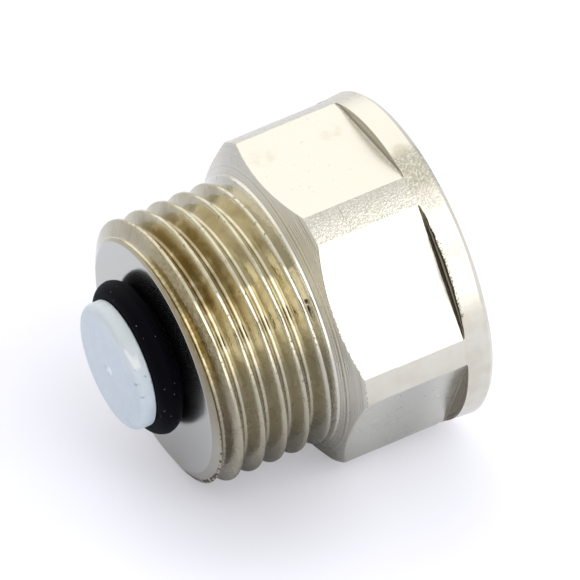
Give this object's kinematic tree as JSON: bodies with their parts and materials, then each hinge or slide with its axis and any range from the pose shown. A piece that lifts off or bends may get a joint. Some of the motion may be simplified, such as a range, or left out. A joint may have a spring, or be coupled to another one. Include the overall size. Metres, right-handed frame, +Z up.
{
  "type": "automatic shut-off valve",
  "caption": "Nickel-plated brass shut-off valve for an air vent: male thread, hexagon body, female socket, and a sprung plastic shutter with a rubber seal ring.",
  "frame": {"origin": "centre of the male end face, on the thread's axis", "axes": "+X along the axis, from the male end to the female socket; +Z up, square to one flat of the hexagon, with the part lying on its side"},
  "size_m": [0.025, 0.0256, 0.0256],
  "materials": {
    "nickel": "nickel-plated, turned and milled",
    "shutter_plastic": "moulded, satin, pale blue-grey",
    "seal_rubber": "matte black",
    "spring_wire": "drawn stainless wire",
    "cap_plastic": "moulded, satin, pale blue-grey"
  },
  "bodies": {
    "valve_body": {"body": "nickel", "spring": "spring_wire"},
    "shutter_unit": {"shutter": "shutter_plastic", "seal_ring": "seal_rubber", "spring_cap": "cap_plastic"}
  },
  "joints": [
    {"name": "shutter_slide", "type": "slide", "parent": "valve_body", "child": "shutter_unit", "axis": [-1, 0, 0], "range_m": [0, 0.0025], "stiffness_N_per_m": 300, "springref_m": -0.0029, "deforming": ["spring"]}
  ]
}
